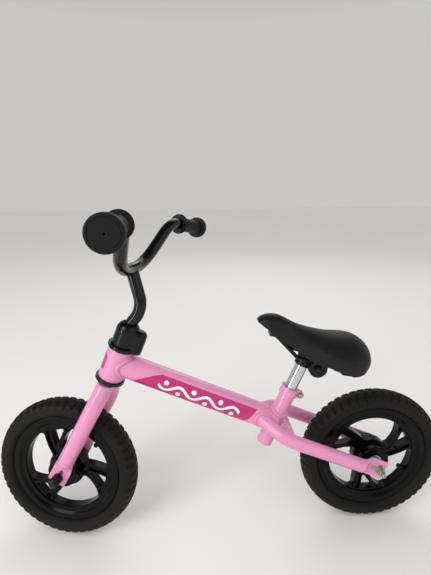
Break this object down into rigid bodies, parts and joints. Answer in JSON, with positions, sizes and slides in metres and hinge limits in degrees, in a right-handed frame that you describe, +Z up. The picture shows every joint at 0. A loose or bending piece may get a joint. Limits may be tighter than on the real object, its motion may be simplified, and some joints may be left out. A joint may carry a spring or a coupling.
{
  "type": "balance bike",
  "caption": "Child's pedal-less balance bike: sloping steel frame tube, bowed stays, raked fork, riser handlebar, height-adjustable saddle, moulded spoked wheels with air tyres",
  "frame": {"origin": "on the ground, midway between the axles, in the frame's middle plane", "axes": "+X forward, +Y the rider's left, +Z up; the front wheel is parked turned to the right by 12.7 degrees, as in the picture"},
  "size_m": [0.8773, 0.5026, 0.6415],
  "materials": {
    "frame_paint": "gloss pink paint on steel tube",
    "bar_paint": "gloss black paint on steel tube",
    "black_paint": "satin black paint on steel",
    "bare_steel": "bare or zinc-plated steel",
    "chrome_plate": "bright plated steel",
    "black_plastic": "gloss black moulded plastic",
    "tyre_rubber": "matt black rubber",
    "soft_rubber": "matt black soft rubber",
    "saddle_skin": "satin black imitation leather over foam"
  },
  "bodies": {
    "frame": {"head_tube": "frame_paint", "main_tube": "frame_paint", "seat_tube": "frame_paint", "left_stay": "frame_paint", "right_stay": "frame_paint", "stay_bridge": "frame_paint", "upper_headset_cup": "black_paint", "lower_headset_cup": "black_paint", "seat_clamp_collar": "frame_paint", "seat_clamp_bolt": "chrome_plate", "seat_clamp_nut": "bare_steel", "rear_axle": "bare_steel", "rear_axle_nuts": "chrome_plate", "rear_tab_washers": "chrome_plate", "rear_axle_spacers": "bare_steel", "rear_bearing_inner_races": "bare_steel", "rear_bearing_balls": "bare_steel"},
    "fork": {"steerer_tube": "bare_steel", "left_fork_blade": "frame_paint", "right_fork_blade": "frame_paint", "lower_headset_cone": "bare_steel", "upper_headset_cone": "bare_steel", "headset_balls": "bare_steel", "headset_locknut": "bare_steel", "stem_clamp_collar": "bare_steel", "stem_clamp_bolt": "bare_steel", "stem_clamp_nut": "bare_steel", "stem_cover": "black_plastic", "front_axle": "bare_steel", "front_axle_nuts": "chrome_plate", "front_nut_caps": "black_plastic", "front_tab_washers": "chrome_plate", "front_axle_spacers": "bare_steel", "front_bearing_inner_races": "bare_steel", "front_bearing_balls": "bare_steel"},
    "front_wheel": {"front_rim": "black_plastic", "front_tyre": "tyre_rubber", "front_inner_tube": "soft_rubber", "front_valve": "soft_rubber", "front_valve_cap": "black_plastic", "front_bearing_outer_races": "bare_steel"},
    "rear_wheel": {"rear_rim": "black_plastic", "rear_tyre": "tyre_rubber", "rear_inner_tube": "soft_rubber", "rear_valve": "soft_rubber", "rear_valve_cap": "black_plastic", "rear_bearing_outer_races": "bare_steel"},
    "handlebar_assembly": {"stem": "bar_paint", "handlebar": "bar_paint", "left_grip": "soft_rubber", "right_grip": "soft_rubber"},
    "post_assembly": {"seat_post": "chrome_plate", "saddle_clamp_band": "black_paint"},
    "saddle_clamp": {"saddle_clamp_cheeks": "black_paint", "saddle_clamp_bolt": "bare_steel", "saddle_clamp_nuts": "black_paint"},
    "saddle_assembly": {"saddle_rails": "chrome_plate", "saddle_base": "black_plastic", "saddle_cover": "saddle_skin"}
  },
  "joints": [
    {"name": "steering", "type": "hinge", "parent": "frame", "child": "fork", "pos_m": [0.19132, 0, 0.35764], "axis": [-0.3907, 0, 0.9205], "range_deg": [-37.3, 62.7]},
    {"name": "front_wheel_spin", "type": "hinge", "parent": "fork", "child": "front_wheel", "pos_m": [0.29966, -0.0033, 0.13986], "axis": [0.2024, 0.9755, 0.0859], "continuous": true},
    {"name": "rear_wheel_spin", "type": "hinge", "parent": "frame", "child": "rear_wheel", "pos_m": [-0.3, 0, 0.14], "axis": [0, 1, 0], "continuous": true},
    {"name": "handlebar_height", "type": "slide", "parent": "fork", "child": "handlebar_assembly", "axis": [-0.3907, 0, 0.9205], "range_m": [0, 0.05]},
    {"name": "seat_height", "type": "slide", "parent": "frame", "child": "post_assembly", "axis": [-0.3907, 0, 0.9205], "range_m": [-0.025, 0.045]},
    {"name": "saddle_tilt", "type": "hinge", "parent": "post_assembly", "child": "saddle_clamp", "pos_m": [-0.17706, 0, 0.34271], "axis": [0, 1, 0], "range_deg": [-12, 12]},
    {"name": "saddle_slide", "type": "slide", "parent": "saddle_clamp", "child": "saddle_assembly", "axis": [0.9563, 0, 0.2924], "range_m": [-0.015, 0.015]}
  ]
}
